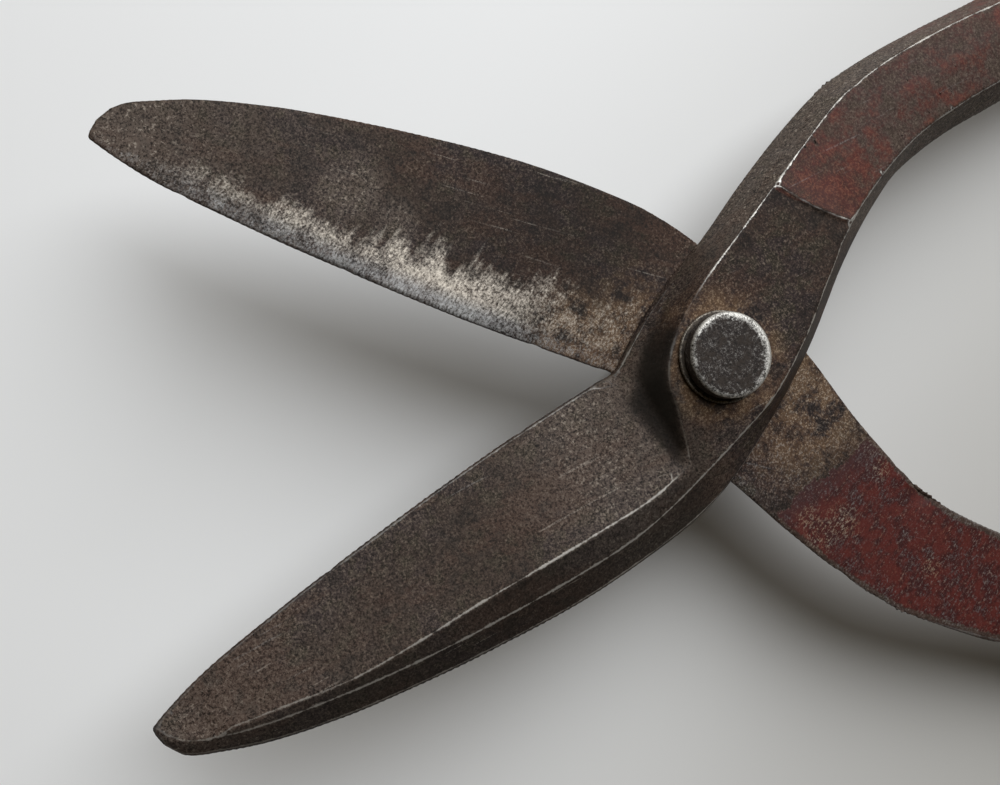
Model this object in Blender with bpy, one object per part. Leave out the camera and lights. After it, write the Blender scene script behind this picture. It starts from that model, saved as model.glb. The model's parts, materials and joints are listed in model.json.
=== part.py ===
"""Straight-pattern tin snips: two identical forged halves that turn on one pivot bolt.

Every size below is in millimetres and is turned into metres when a mesh is made. A half is drawn
in its closed position, with the pivot axis at the origin, the blade along -X with its cutting edge
on the +Y side, the handle along +X, and its flat shear face at height 0 with the forging above it.
The back half is the front half turned over about the X axis. The halves stand open, stacked along
the pivot axis on the bolt, and the whole tool lies as it does on a bench: on the bolt's tail and on
its two handle ends, which tips the pivot axis towards +X. The origin is the centre of the tail end.
"""
import math

import bmesh
import bpy
from mathutils import Matrix, Vector
from mathutils.geometry import delaunay_2d_cdt

MM = 0.001
STAND_NAME = "resting_position"

# Driving dimensions of a half.
BOSS_HEIGHT = 8.3
HANDLE_END = 214.0
HALF_OPENING_DEG = 25.65
REST_TILT_DEG = 6.0
GRIP_SET = 4.0
SET_START = 88.0
SET_END = 160.0
EDGE_LAND = 0.9
EDGE_DRAFT = 0.3
RIM_LAND = 1.6
RIM_DRAFT = 0.5
SOLE_CHAMFER = 2.2
SOLE_START = 40.0
SOLE_END = 125.0
RIDGE_SHARP_DEG = 14.0

# Pivot fittings.
FACE_GAP = 0.3
CLEARANCE = 0.3
SHANK_RADIUS = 4.75
NECK_HALF_FLATS = 4.75
NECK_HALF_CORNER = 3.2
HEAD_RADIUS = 6.95
HEAD_HEIGHT = 3.1
HEAD_WASHER = (6.1, 7.6, 0.6)
BACK_WASHER = (5.05, 9.0, 1.5)
SPRING_RING = (5.05, 8.0, 2.0)
SPRING_RISE = 0.5
SPRING_SPLIT_DEG = 14.0
NUT_FLATS = 14.3
NUT_HEIGHT = 6.2
LOCK_NUT_HEIGHT = 4.2
NUT_BORE = SHANK_RADIUS + CLEARANCE
TAIL_BEYOND_NUT = 1.6
TAIL_CHAMFER = 0.8
ROUND_STEPS = 48

# Heights of the stack, measured down from the shear plane between the two halves.
HALF_GAP = FACE_GAP / 2
BACK_WASHER_TOP = HALF_GAP + BOSS_HEIGHT + FACE_GAP
SPRING_TOP = BACK_WASHER_TOP + BACK_WASHER[2] + FACE_GAP
NUT_TOP = SPRING_TOP + SPRING_RING[2] + SPRING_RISE + FACE_GAP
LOCK_NUT_TOP = NUT_TOP + NUT_HEIGHT + FACE_GAP
SHEAR_PLANE = LOCK_NUT_TOP + LOCK_NUT_HEIGHT + TAIL_BEYOND_NUT
FRONT_FACE = SHEAR_PLANE + HALF_GAP
BACK_FACE = SHEAR_PLANE - HALF_GAP
BOSS_TOP = FRONT_FACE + BOSS_HEIGHT
HEAD_SEAT = BOSS_TOP + FACE_GAP + HEAD_WASHER[2] + FACE_GAP

# Outline of a half at its shear face, as (x, y) points that smooth curves pass through.
CUTTING_EDGE = [(-104.1, 0.9), (-95.0, 3.2), (-80.0, 5.0), (-60.0, 6.4), (-40.0, 7.2), (-17.2, 7.1)]
HEEL_TO_HANDLE = [
    (-17.2, 7.1), (-14.2, 7.1), (-11.3, 8.6), (-5.2, 11.7), (0.0, 13.8), (12.0, 17.7), (24.0, 22.3),
    (36.0, 26.2), (47.0, 28.7), (58.0, 29.1), (84.0, 27.5), (112.0, 24.9), (142.0, 21.6),
    (166.0, 18.9), (184.0, 17.9), (198.0, 18.6), (207.0, 20.0),
]
HANDLE_TIP = [(207.0, 20.0), (212.3, 18.6), (HANDLE_END, 13.2), (211.6, 7.6), (206.0, 5.2)]
GRIP_TO_TIP = [
    (206.0, 5.2), (196.0, 2.4), (183.0, 0.7), (165.0, 1.3), (140.0, 3.7), (110.0, 6.6), (78.0, 8.9),
    (59.0, 9.4), (51.0, 8.5), (43.0, 5.6), (32.0, 0.0), (18.2, -8.7), (5.0, -15.2), (-6.4, -19.6),
    (-14.4, -21.4), (-28.0, -22.0), (-40.0, -21.5), (-54.0, -19.7), (-68.0, -17.3), (-80.8, -14.4),
    (-92.4, -10.6), (-99.6, -7.2),
]
BLADE_TIP = [(-99.6, -7.2), (-102.4, -5.3), (-103.9, -2.7), (-104.1, 0.9)]

# Ridges of the forging above the shear face, as (x, y, height) points.
# The crest starts at the blade's tip, follows the outer edge of its spine, the boss and the handle,
# turns round the handle's end, and comes back to the wall of the boss.
CREST_OUT = [
    (-103.0, 0.3, 1.2), (-102.2, -1.4, 1.5), (-100.9, -3.1, 1.8), (-98.2, -4.9, 2.1), (-94.7, -6.4, 2.3),
    (-89.3, -8.2, 2.6), (-82.0, -10.1, 2.9),
    (-68.0, -13.1, 3.2), (-52.5, -15.3, 3.6), (-38.0, -16.7, 4.0), (-27.0, -17.1, 4.4),
    (-19.0, -16.2, 5.0), (-12.0, -14.7, 6.0), (-4.2, -12.8, 7.2), (3.6, -10.7, 8.1),
    (14.5, -5.5, 8.3), (24.0, 0.6, 8.3), (33.4, 6.4, 8.3), (42.6, 9.9, 7.9), (52.0, 12.2, 7.5),
    (62.0, 12.9, 7.4), (80.0, 12.2, 7.2), (110.0, 9.9, 7.2), (140.0, 7.2, 7.4), (165.0, 5.0, 7.6),
    (183.0, 4.4, 7.7), (196.0, 6.0, 7.6), (205.0, 8.6, 7.4),
]
CREST_END = [
    (205.0, 8.6, 7.4), (209.6, 10.4, 7.2), (210.8, 13.0, 7.1), (209.6, 15.5, 7.2), (205.5, 16.3, 7.4),
]
CREST_BACK = [
    (205.5, 16.3, 7.4), (197.0, 15.1, 7.6), (184.0, 14.3, 7.7), (166.0, 15.3, 7.6), (142.0, 18.1, 7.4),
    (112.0, 21.5, 7.2), (84.0, 24.5, 7.2), (66.0, 26.2, 7.4), (55.0, 26.4, 7.5), (45.0, 25.5, 7.9),
    (34.0, 22.3, 8.3), (24.0, 18.7, 8.3), (15.1, 15.6, 8.3), (3.9, 11.6, 8.3), (-2.5, 8.5, 8.3),
    (-7.2, 5.0, 8.3), (-10.0, 1.2, 8.3), (-11.0, -3.0, 7.9), (-12.2, -8.0, 7.0), (-13.3, -11.8, 6.2),
]
SPINE_RIDGE = [
    (-13.3, -11.8, 6.2), (-20.0, -13.0, 5.6), (-32.0, -12.7, 5.2), (-43.0, -12.0, 4.9),
    (-54.0, -11.2, 4.5), (-66.0, -10.6, 4.1), (-76.0, -9.7, 3.7), (-86.0, -7.4, 3.1), (-94.0, -5.5, 2.5),
]
# Foot of the wall between the blade's outer face and the boss, and the hollow half way up it.
WALL_FOOT = [
    (-16.0, 6.0, 1.5), (-15.6, 3.0, 2.5), (-15.6, -1.0, 3.6), (-15.7, -5.0, 4.5), (-15.3, -9.0, 5.1),
    (-14.7, -11.5, 5.5),
]
WALL_HOLLOW = [
    (-13.6, -9.5, 5.6), (-13.2, -4.0, 5.2), (-12.8, 1.0, 4.2), (-11.6, 4.4, 3.5), (-9.0, 7.2, 3.2),
    (-4.0, 10.0, 3.2), (2.0, 12.7, 3.5), (11.0, 16.0, 4.0), (21.0, 19.6, 4.6), (30.0, 22.7, 5.2),
]
# Where the ground top of the boss starts to fall towards the blade.
BOSS_LEDGE = [(-10.0, -2.2, 8.25), (-6.5, -5.0, 8.25), (-2.0, -8.0, 8.25), (3.0, -10.1, 8.2)]
# The low step between the ground boss and the forged skin of the handle.
STEP_FOOT = [(24.3, 18.0, 8.3), (26.2, 14.6, 8.3), (29.0, 10.4, 8.3), (32.4, 6.6, 8.3)]
STEP_RISE = 0.35
STEP_SHIFT = 0.5
HANDLE_CROWN = [
    (36.0, 15.5, 8.35), (50.0, 18.8, 7.9), (66.0, 19.6, 7.9), (84.0, 18.5, 7.8), (112.0, 15.7, 7.9),
    (142.0, 12.7, 8.2), (166.0, 10.2, 8.4), (184.0, 9.4, 8.5), (200.0, 11.3, 8.2),
]
# Longest straight piece of an outline in each stretch of x.
FINE_STEP = 1.4
COARSE_STEP = 2.6
FINE_STRETCH = (-19.0, 16.0)

COLOURS = {
    "front_half": ((0.075, 0.055, 0.047), 0.55, 0.85),
    "back_half": ((0.090, 0.060, 0.050), 0.55, 0.85),
    "pivot_bolt": ((0.240, 0.225, 0.205), 0.45, 0.95),
    "head_washer": ((0.130, 0.110, 0.090), 0.50, 0.90),
    "back_washer": ((0.160, 0.140, 0.120), 0.50, 0.90),
    "spring_washer": ((0.110, 0.100, 0.090), 0.45, 0.90),
    "pivot_nut": ((0.180, 0.150, 0.120), 0.50, 0.90),
    "lock_nut": ((0.170, 0.145, 0.120), 0.50, 0.90),
}


def clear_scene():
    for item in list(bpy.data.objects):
        bpy.data.objects.remove(item, do_unlink=True)


def smooth_ramp(value, start, end):
    """Rise gently from 0 at start to 1 at end."""
    t = min(1.0, max(0.0, (value - start) / (end - start)))
    return t * t * (3.0 - 2.0 * t)


def step_length(x):
    """Shorter steps round the boss, longer ones along the blade and the handle."""
    low, high = FINE_STRETCH
    away = max(low - x, x - high, 0.0)
    return min(COARSE_STEP, FINE_STEP + 0.12 * away)


def curve_through(points):
    """Points along a smooth curve that passes through every given point."""
    knots = [Vector(p if len(p) == 3 else (p[0], p[1], 0.0)) for p in points]
    before = [2 * knots[0] - knots[1]] + knots[:-1]
    after = knots[1:] + [2 * knots[-1] - knots[-2]]
    tangents = []
    for previous, here, following in zip(before, knots, after):
        back, ahead = (here - previous).length, (following - here).length
        arriving = (here - previous) / back
        leaving = (following - here) / ahead
        tangents.append((arriving * ahead + leaving * back) / (back + ahead))
    path = [knots[0]]
    for start, end, leave, arrive in zip(knots, knots[1:], tangents, tangents[1:]):
        span = (end - start).length
        count = max(1, math.ceil(span / step_length((start.x + end.x) / 2)))
        for i in range(1, count + 1):
            t = i / count
            path.append(
                (2 * t**3 - 3 * t**2 + 1) * start + (t**3 - 2 * t**2 + t) * span * leave
                + (3 * t**2 - 2 * t**3) * end + (t**3 - t**2) * span * arrive
            )
    return path


def join_curves(*stretches):
    """One path from curves that meet end to start."""
    path = []
    for stretch in stretches:
        points = curve_through(stretch)
        path.extend(points[1:] if path else points)
    return path


def inset_loop(loop, distances):
    """The closed loop, with each point moved to the loop's inner side."""
    moved = []
    for i, point in enumerate(loop):
        back = (point - loop[i - 1]).normalized()
        ahead = (loop[(i + 1) % len(loop)] - point).normalized()
        along = (back + ahead).normalized()
        inward = Vector((along.y, -along.x, 0.0))
        moved.append(point + inward * distances[i])
    return moved


def cap_faces(loop, ridges, collect):
    """Fill a closed loop with triangles whose edges keep to the ridges inside it."""
    points = [p.xy for p in loop]
    heights = [p.z for p in loop]
    edges = [(i, (i + 1) % len(loop)) for i in range(len(loop))]
    for ridge in ridges:
        first = len(points)
        points.extend(p.xy for p in ridge)
        heights.extend(p.z for p in ridge)
        edges.extend((first + i, first + i + 1) for i in range(len(ridge) - 1))
    outer_face = [list(range(len(loop)))]
    flat, _, faces, origins, _, _ = delaunay_2d_cdt(points, edges, outer_face, 1, 1e-4)
    corners = [collect(Vector((p.x, p.y, heights[origins[i][0]]))) for i, p in enumerate(flat)]
    return [[corners[i] for i in face] for face in faces]


def half_forging_mesh(name):
    """Blade, boss and handle of one half, closed position, shear face at height 0."""
    loop = join_curves(CUTTING_EDGE, HEEL_TO_HANDLE, HANDLE_TIP, GRIP_TO_TIP, BLADE_TIP)[:-1]
    cutting_points = len(curve_through(CUTTING_EDGE)) - 1

    rim_inset = [EDGE_DRAFT if i <= cutting_points else RIM_DRAFT for i in range(len(loop))]
    rim = inset_loop(loop, rim_inset)
    for i, point in enumerate(rim):
        blend = smooth_ramp(point.x, -17.0, -8.0)
        land = EDGE_LAND + (RIM_LAND - EDGE_LAND) * blend
        point.z = land + SOLE_CHAMFER * smooth_ramp(point.x, SOLE_START, SOLE_END) * 0.6

    chamfers = [SOLE_CHAMFER * smooth_ramp(p.x, SOLE_START, SOLE_END) for p in loop]
    sole = inset_loop(loop, chamfers)
    for point, chamfer in zip(loop, chamfers):
        point.z = chamfer * 0.75

    crest = join_curves(CREST_OUT, CREST_END, CREST_BACK, SPINE_RIDGE)
    step_foot = curve_through(STEP_FOOT)
    step_top = [p + Vector((STEP_SHIFT, STEP_SHIFT * 0.5, STEP_RISE)) for p in step_foot]
    ridges = [crest, curve_through(WALL_FOOT), curve_through(WALL_HOLLOW), curve_through(BOSS_LEDGE)]
    ridges += [step_foot, step_top, curve_through(HANDLE_CROWN)]

    mesh = bmesh.new()
    known = {}

    def collect(point):
        key = tuple(round(c, 4) for c in point)
        if key not in known:
            known[key] = mesh.verts.new(point)
        return known[key]

    faces = cap_faces(rim, ridges, collect)
    faces += [list(reversed(face)) for face in cap_faces(sole, [], collect)]
    for upper, lower in ((rim, loop), (loop, sole)):
        for i in range(len(loop)):
            following = (i + 1) % len(loop)
            quad = [collect(p) for p in (upper[i], upper[following], lower[following], lower[i])]
            corners = [v for j, v in enumerate(quad) if v is not quad[j - 1]]
            faces.append(corners)
    for corners in faces:
        if len(corners) > 2:
            mesh.faces.new(corners)

    for vert in mesh.verts:
        vert.co.z -= GRIP_SET * smooth_ramp(vert.co.x, SET_START, SET_END)
        vert.co *= MM
    bmesh.ops.recalc_face_normals(mesh, faces=mesh.faces)
    return finish_mesh(mesh, name)


def finish_mesh(mesh, name):
    data = bpy.data.meshes.new(name)
    mesh.to_mesh(data)
    mesh.free()
    return data


def turned_mesh(name, profile, steps=ROUND_STEPS):
    """A round piece: (radius, height) points from bottom to top, turned about the Z axis."""
    mesh = bmesh.new()
    rings = []
    for radius, height in profile:
        if radius == 0.0:
            rings.append([mesh.verts.new((0.0, 0.0, height * MM))])
            continue
        angles = [math.tau * i / steps for i in range(steps)]
        rings.append([
            mesh.verts.new((radius * math.cos(a) * MM, radius * math.sin(a) * MM, height * MM))
            for a in angles
        ])
    closed = profile[0][0] != 0.0
    pairs = list(zip(rings, rings[1:] + rings[:1])) if closed else list(zip(rings, rings[1:]))
    for lower, upper in pairs:
        for i in range(steps):
            following = (i + 1) % steps
            if len(lower) == 1:
                mesh.faces.new((lower[0], upper[following], upper[i]))
            elif len(upper) == 1:
                mesh.faces.new((lower[i], lower[following], upper[0]))
            else:
                mesh.faces.new((lower[i], lower[following], upper[following], upper[i]))
    bmesh.ops.recalc_face_normals(mesh, faces=mesh.faces)
    return finish_mesh(mesh, name)


def prism_mesh(name, corners, bottom, top):
    """A straight prism over a polygon of (x, y) corners."""
    mesh = bmesh.new()
    lower = [mesh.verts.new((x * MM, y * MM, bottom * MM)) for x, y in corners]
    upper = [mesh.verts.new((x * MM, y * MM, top * MM)) for x, y in corners]
    mesh.faces.new(lower)
    mesh.faces.new(upper)
    for i in range(len(corners)):
        following = (i + 1) % len(corners)
        mesh.faces.new((lower[i], lower[following], upper[following], upper[i]))
    bmesh.ops.recalc_face_normals(mesh, faces=mesh.faces)
    return finish_mesh(mesh, name)


def neck_corners(clearance=0.0):
    """The square neck under the bolt head, with its corners cut off."""
    flat = NECK_HALF_FLATS + clearance
    corner = NECK_HALF_CORNER + clearance * (math.sqrt(2) - 1)
    quarter = [(flat, -corner), (flat, corner)]
    corners = []
    for turn in range(4):
        angle = turn * math.pi / 2
        for x, y in quarter:
            cosine, sine = math.cos(angle), math.sin(angle)
            corners.append((x * cosine - y * sine, x * sine + y * cosine))
    return corners


def material_for(name):
    colour, roughness, metallic = COLOURS[name]
    material = bpy.data.materials.new(name)
    material.use_nodes = True
    shader = material.node_tree.nodes["Principled BSDF"]
    shader.inputs["Base Color"].default_value = (*colour, 1.0)
    shader.inputs["Roughness"].default_value = roughness
    shader.inputs["Metallic"].default_value = metallic
    return material


def make_stand():
    """The empty that tips the whole tool into its resting position."""
    stand = bpy.data.objects.new(STAND_NAME, None)
    bpy.context.scene.collection.objects.link(stand)
    stand.rotation_euler.y = math.radians(REST_TILT_DEG)


def place(name, data, sharp_deg=30.0):
    item = bpy.data.objects.new(name, data)
    bpy.context.scene.collection.objects.link(item)
    item.parent = bpy.data.objects[STAND_NAME]
    data.materials.append(material_for(name))
    data.shade_smooth()
    data.set_sharp_from_angle(angle=math.radians(sharp_deg))
    return item


def boolean(item, tool_mesh, operation):
    """Cut away, keep or add the tool's shape; the tool itself isn't a piece."""
    tool = bpy.data.objects.new("tool_" + tool_mesh.name, tool_mesh)
    bpy.context.scene.collection.objects.link(tool)
    tool.parent = item
    tool.hide_render = True
    tool.display_type = "WIRE"
    modifier = item.modifiers.new(operation.lower(), "BOOLEAN")
    modifier.operation = operation
    modifier.object = tool


def make_front_half():
    half = place("front_half", half_forging_mesh("front_half"), RIDGE_SHARP_DEG)
    half.location.z = FRONT_FACE * MM
    half.rotation_euler.z = math.radians(HALF_OPENING_DEG)
    hole = prism_mesh("front_hole", neck_corners(CLEARANCE), -2.0, BOSS_HEIGHT + 2.0)
    boolean(half, hole, "DIFFERENCE")
    return half


def make_back_half():
    data = half_forging_mesh("back_half")
    data.transform(Matrix.Rotation(math.pi, 4, "X"))
    half = place("back_half", data, RIDGE_SHARP_DEG)
    half.location.z = BACK_FACE * MM
    half.rotation_euler.z = math.radians(-HALF_OPENING_DEG)
    bore = NUT_BORE
    low, high = -BOSS_HEIGHT - 2.0, 2.0
    hole = turned_mesh("back_hole", [(0.0, low), (bore, low), (bore, high), (0.0, high)])
    boolean(half, hole, "DIFFERENCE")
    return half


def make_pivot_bolt():
    head_top = HEAD_SEAT + HEAD_HEIGHT
    profile = [(0.0, 0.0), (SHANK_RADIUS - TAIL_CHAMFER, 0.0), (SHANK_RADIUS, TAIL_CHAMFER)]
    profile += [(SHANK_RADIUS, HEAD_SEAT), (HEAD_RADIUS - 0.2, HEAD_SEAT), (HEAD_RADIUS, HEAD_SEAT + 0.3)]
    rim = 0.7
    for i in range(5):
        angle = math.pi / 2 * i / 4
        profile.append((HEAD_RADIUS - rim + rim * math.cos(angle), head_top - rim + rim * math.sin(angle)))
    profile += [(0.0, head_top)]
    bolt = place("pivot_bolt", turned_mesh("pivot_bolt", profile))
    neck = prism_mesh("bolt_neck", neck_corners(), FRONT_FACE + 0.4, HEAD_SEAT + 0.5)
    neck.transform(Matrix.Rotation(math.radians(HALF_OPENING_DEG), 4, "Z"))
    boolean(bolt, neck, "UNION")
    return bolt


def make_washer(name, sizes, top):
    inner, outer, thickness = sizes
    break_edge = 0.15
    profile = [
        (inner, 0.0), (outer - break_edge, 0.0), (outer, break_edge), (outer, thickness - break_edge),
        (outer - break_edge, thickness), (inner, thickness),
    ]
    washer = place(name, turned_mesh(name, profile))
    washer.location.z = (top - thickness) * MM
    return washer


def make_spring_washer():
    """A split ring whose two ends stand apart in height."""
    inner, outer, thickness = SPRING_RING
    steps = 40
    sweep = math.tau - math.radians(SPRING_SPLIT_DEG)
    mesh = bmesh.new()
    sections = []
    for i in range(steps + 1):
        angle = sweep * i / steps
        base = SPRING_RISE * i / steps
        section = []
        for radius, height in ((inner, 0.0), (outer, 0.0), (outer, thickness), (inner, thickness)):
            spot = (radius * math.cos(angle) * MM, radius * math.sin(angle) * MM, (base + height) * MM)
            section.append(mesh.verts.new(spot))
        sections.append(section)
    for near, far in zip(sections, sections[1:]):
        for j in range(4):
            following = (j + 1) % 4
            mesh.faces.new((near[j], near[following], far[following], far[j]))
    mesh.faces.new(sections[0])
    mesh.faces.new(sections[-1])
    bmesh.ops.recalc_face_normals(mesh, faces=mesh.faces)
    washer = place("spring_washer", finish_mesh(mesh, "spring_washer"))
    washer.location.z = (SHEAR_PLANE - SPRING_TOP - thickness - SPRING_RISE) * MM
    return washer


def make_nut(name, height, top, turn_deg):
    """A hexagon nut with its corners turned down at both ends."""
    flat = NUT_FLATS / 2
    corner = flat / math.cos(math.pi / 6)
    corners = [(corner * math.cos(math.pi / 3 * i), corner * math.sin(math.pi / 3 * i)) for i in range(6)]
    nut = place(name, prism_mesh(name, corners, 0.0, height))
    drop = (corner - flat + 0.1) * math.tan(math.radians(30))
    barrel = [
        (0.0, -0.5), (flat - 0.1, -0.5), (flat - 0.1, 0.0),
        (corner + 0.5, drop), (corner + 0.5, height - drop),
        (flat - 0.1, height), (flat - 0.1, height + 0.5), (0.0, height + 0.5),
    ]
    boolean(nut, turned_mesh(name + "_barrel", barrel), "INTERSECT")
    bore = [(0.0, -1.0), (NUT_BORE, -1.0), (NUT_BORE, height + 1.0), (0.0, height + 1.0)]
    boolean(nut, turned_mesh(name + "_bore", bore), "DIFFERENCE")
    nut.location.z = (top - height) * MM
    nut.rotation_euler.z = math.radians(turn_deg)
    return nut


def build():
    clear_scene()
    make_stand()
    make_front_half()
    make_back_half()
    make_pivot_bolt()
    make_washer("head_washer", HEAD_WASHER, BOSS_TOP + FACE_GAP + HEAD_WASHER[2])
    make_washer("back_washer", BACK_WASHER, SHEAR_PLANE - BACK_WASHER_TOP)
    make_spring_washer()
    make_nut("pivot_nut", NUT_HEIGHT, SHEAR_PLANE - NUT_TOP, 8.0)
    make_nut("lock_nut", LOCK_NUT_HEIGHT, SHEAR_PLANE - LOCK_NUT_TOP, 31.0)


build()
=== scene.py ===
"""Looks of the tin snips: fine forged meshes, worn steel, rust and paint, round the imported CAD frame."""
import json
import math

import bmesh
import bpy
import numpy as np
from mathutils import Matrix, Vector, noise
from mathutils.kdtree import KDTree


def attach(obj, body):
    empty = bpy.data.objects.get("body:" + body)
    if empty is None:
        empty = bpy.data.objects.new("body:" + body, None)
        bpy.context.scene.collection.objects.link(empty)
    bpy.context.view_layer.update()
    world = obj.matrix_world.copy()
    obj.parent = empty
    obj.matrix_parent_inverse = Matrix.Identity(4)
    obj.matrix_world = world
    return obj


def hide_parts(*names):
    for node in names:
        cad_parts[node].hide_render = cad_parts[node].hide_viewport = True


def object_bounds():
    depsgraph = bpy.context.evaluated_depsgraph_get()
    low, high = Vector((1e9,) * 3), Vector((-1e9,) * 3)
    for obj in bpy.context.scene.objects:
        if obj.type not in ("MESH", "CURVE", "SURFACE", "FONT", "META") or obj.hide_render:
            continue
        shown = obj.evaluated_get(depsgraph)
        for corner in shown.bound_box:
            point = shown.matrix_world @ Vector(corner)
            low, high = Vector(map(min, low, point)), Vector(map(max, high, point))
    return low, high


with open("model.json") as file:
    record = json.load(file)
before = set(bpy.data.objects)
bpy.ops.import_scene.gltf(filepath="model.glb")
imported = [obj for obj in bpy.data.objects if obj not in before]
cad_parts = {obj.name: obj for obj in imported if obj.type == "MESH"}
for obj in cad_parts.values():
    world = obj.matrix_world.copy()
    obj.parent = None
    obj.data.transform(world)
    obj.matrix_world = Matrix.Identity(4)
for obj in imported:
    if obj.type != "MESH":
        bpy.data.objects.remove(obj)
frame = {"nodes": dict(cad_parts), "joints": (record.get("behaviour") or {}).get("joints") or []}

CAD_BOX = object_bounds()
MM = 0.001

# The pivot's own frame: its Z runs along the hinge axis, and its origin lies between the two halves.
PIVOT = frame["joints"][0]
AXIS = Vector(PIVOT["axis"]).normalized()
ACROSS = Vector((0.0, 1.0, 0.0))
TOOL_TURN = Matrix((ACROSS.cross(AXIS), ACROSS, AXIS)).transposed().to_4x4()
TOOL = Matrix.Translation(Vector(PIVOT["pos_m"])) @ TOOL_TURN

# How each half stands in that frame. A half's own frame has its blade along -X, its cutting edge
# towards +Y, and its flat shear face at height 0.
HALF_OPENING = math.radians(25.65)
HALF_GAP = 0.15 * MM
FRONT_POSE = TOOL @ Matrix.Translation((0, 0, HALF_GAP)) @ Matrix.Rotation(HALF_OPENING, 4, "Z")
BACK_POSE = (
    TOOL @ Matrix.Translation((0, 0, -HALF_GAP)) @ Matrix.Rotation(-HALF_OPENING, 4, "Z")
    @ Matrix.Rotation(math.pi, 4, "X")
)

# The camera's place, aim, up direction and nearest distance in the pivot's frame, in millimetres.
CAMERA_EYE = (-77.86, -9.97, 171.99)
CAMERA_AIM = (-35.21, -1.17, 0.0)
CAMERA_UP = (0.1109, 0.9907, 0.0782)
CAMERA_LENS = 39.6
SENSOR_WIDTH = 36.0
NEAREST_SEEN = 10.0

# The window's place and size in metres, its power in watts, and the colours of the room, which turns
# from dark to light between these two shares of the way from -Y to +Y.
WINDOW_PLACE = (0.38, 0.68, 0.98)
WINDOW_SIZE = 1.30
WINDOW_POWER = 22.0
WINDOW_COLOUR = (0.925, 0.965, 1.025)
ROOM_DARK = (0.020, 0.015, 0.007)
ROOM_LIGHT = (0.165, 0.132, 0.075)
ROOM_DARK_END = 0.25
ROOM_LIGHT_END = 0.95
ROOM_SEEN = (0.62, 0.64, 0.65)

# The table top's size and gap in metres, and how its tone falls off along one direction in millimetres: a
# painted shade, darker where the room's light falls off.
TABLE_HALF = 4.0
TABLE_GAP = 0.1 * MM
TABLE_SHADE_WAY = (0.86, -0.5, 0.0)
TABLE_SHADE_START = -70.0
TABLE_SHADE_END = 130.0
TABLE_PALE = (0.835, 0.825, 0.800)
TABLE_SHADE = (0.435, 0.415, 0.375)
TABLE_GRAIN = (0.7, 0.7, 0.68)

# Cutting edge of a half in its own frame, in millimetres, how far bare steel reaches in from it, and
# how bright that steel is worn from the tip to the pivot.
EDGE_X = [-104.0, -95.0, -80.0, -60.0, -40.0, -17.0, 0.0]
EDGE_Y = [0.9, 3.2, 5.0, 6.4, 7.2, 7.1, 7.1]
BARE_X = [
    -104.0, -98.0, -91.0, -80.0, -76.0, -71.0, -65.0,
    -54.0, -49.0, -45.0, -40.0, -24.0, -18.0, -9.0,
]
BARE_WIDTH = [1.0, 2.0, 4.3, 7.6, 5.0, 8.0, 6.2, 8.5, 11.5, 8.5, 11.0, 11.5, 12.5, 18.0]
BRIGHT_X = [-104.0, -92.0, -75.0, -60.0, -48.0, -38.0, -28.0, -12.0, 5.0]
BRIGHT = [0.30, 0.50, 0.72, 0.88, 1.0, 1.0, 0.60, 0.30, 0.15]

# How dusty the outer face, the shear face and the flank of the handle are, from the tip onwards. The shear
# face lightens towards the tip, which is dust and a painted reflection of the window.
FACE_DUST_X = [-104.0, -80.0, -45.0, -25.0, -10.0, 0.0, 28.0, 45.0]
FACE_DUST = [0.95, 0.50, 0.25, 1.05, 0.6, 0.0, 0.0, 0.5]
SHEAR_DUST_AND_SHEEN_X = [-104.0, -92.0, -60.0, -30.0]
SHEAR_DUST_AND_SHEEN = [1.25, 0.85, 0.20, 0.0]
FLANK_DUST_X = [-8.0, 4.0, 18.0, 34.0]
FLANK_DUST = [0.0, 0.35, 1.0, 1.25]

# How bright the ridges are rubbed, from the tip to the pivot.
WEAR_X = [-104.0, -70.0, -45.0, 0.0]
WEAR = [0.30, 0.62, 0.78, 1.0]

# Round spots in a half's own frame, each with its x, y and radius: where the paint is scraped thin on
# the shear side, where that side is brown with rust, where ridges are rarely reached and stay dull,
# and where the shear face of the blade is grimy or pale with dust.
RUB_SPOTS = [(33.0, 17.5, 4.5), (30.0, 21.0, 4.0), (27.0, 19.0, 3.0), (37.7, 6.5, 2.5), (52.0, 20.0, 2.5)]
RUST_SPOTS = [(-10.0, 1.0, 17.0), (-22.0, 3.0, 11.0), (20.0, 0.0, 19.0)]
DULL_SPOTS = [
    (-10.0, -4.0, 13.0), (-1.0, 9.0, 9.0), (-16.0, 7.0, 4.0), (-14.5, -12.0, 3.5), (26.5, 22.5, 3.5),
    (210.0, 13.0, 10.0),
]
GRIME_SPOTS = [(-30.0, -9.0, 24.0)]
PALE_SPOTS = [(-64.0, -6.5, 8.0), (-56.0, -4.5, 5.0), (-97.0, -2.0, 4.0)]

# Nicks and dents of each half: place, radius and depth.
FRONT_NICKS = [
    ((-70.0, 5.9, 0.0), 0.8, 0.20), ((-33.0, 7.2, 0.0), 0.7, 0.16), ((-96.0, -6.0, 2.2), 1.2, 0.25),
    ((30.0, 3.4, 8.4), 1.1, 0.30), ((48.0, 26.0, 7.8), 1.3, 0.30), ((92.0, 24.0, 7.4), 1.6, 0.35),
]
BACK_NICKS = [
    ((46.2, 7.2, 0.5), 3.0, 0.50), ((41.0, 4.6, 0.5), 1.4, 0.25), ((-101.6, -5.6, 0.5), 1.4, 0.20),
    ((-88.0, 4.2, 0.0), 0.8, 0.20), ((-61.0, 6.4, 0.0), 0.7, 0.18), ((-28.0, 7.2, 0.0), 0.9, 0.22),
    ((70.0, 27.6, 0.5), 1.8, 0.40), ((36.0, 26.0, 0.5), 1.2, 0.30),
]

# Where the handle's end and the blade's tip are rounded: x where it starts, and where it is full.
END_ROUND_START = 198.0
END_ROUND_FULL = 207.0
TIP_ROUND_START = -101.0
TIP_ROUND_FULL = -103.6

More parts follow.
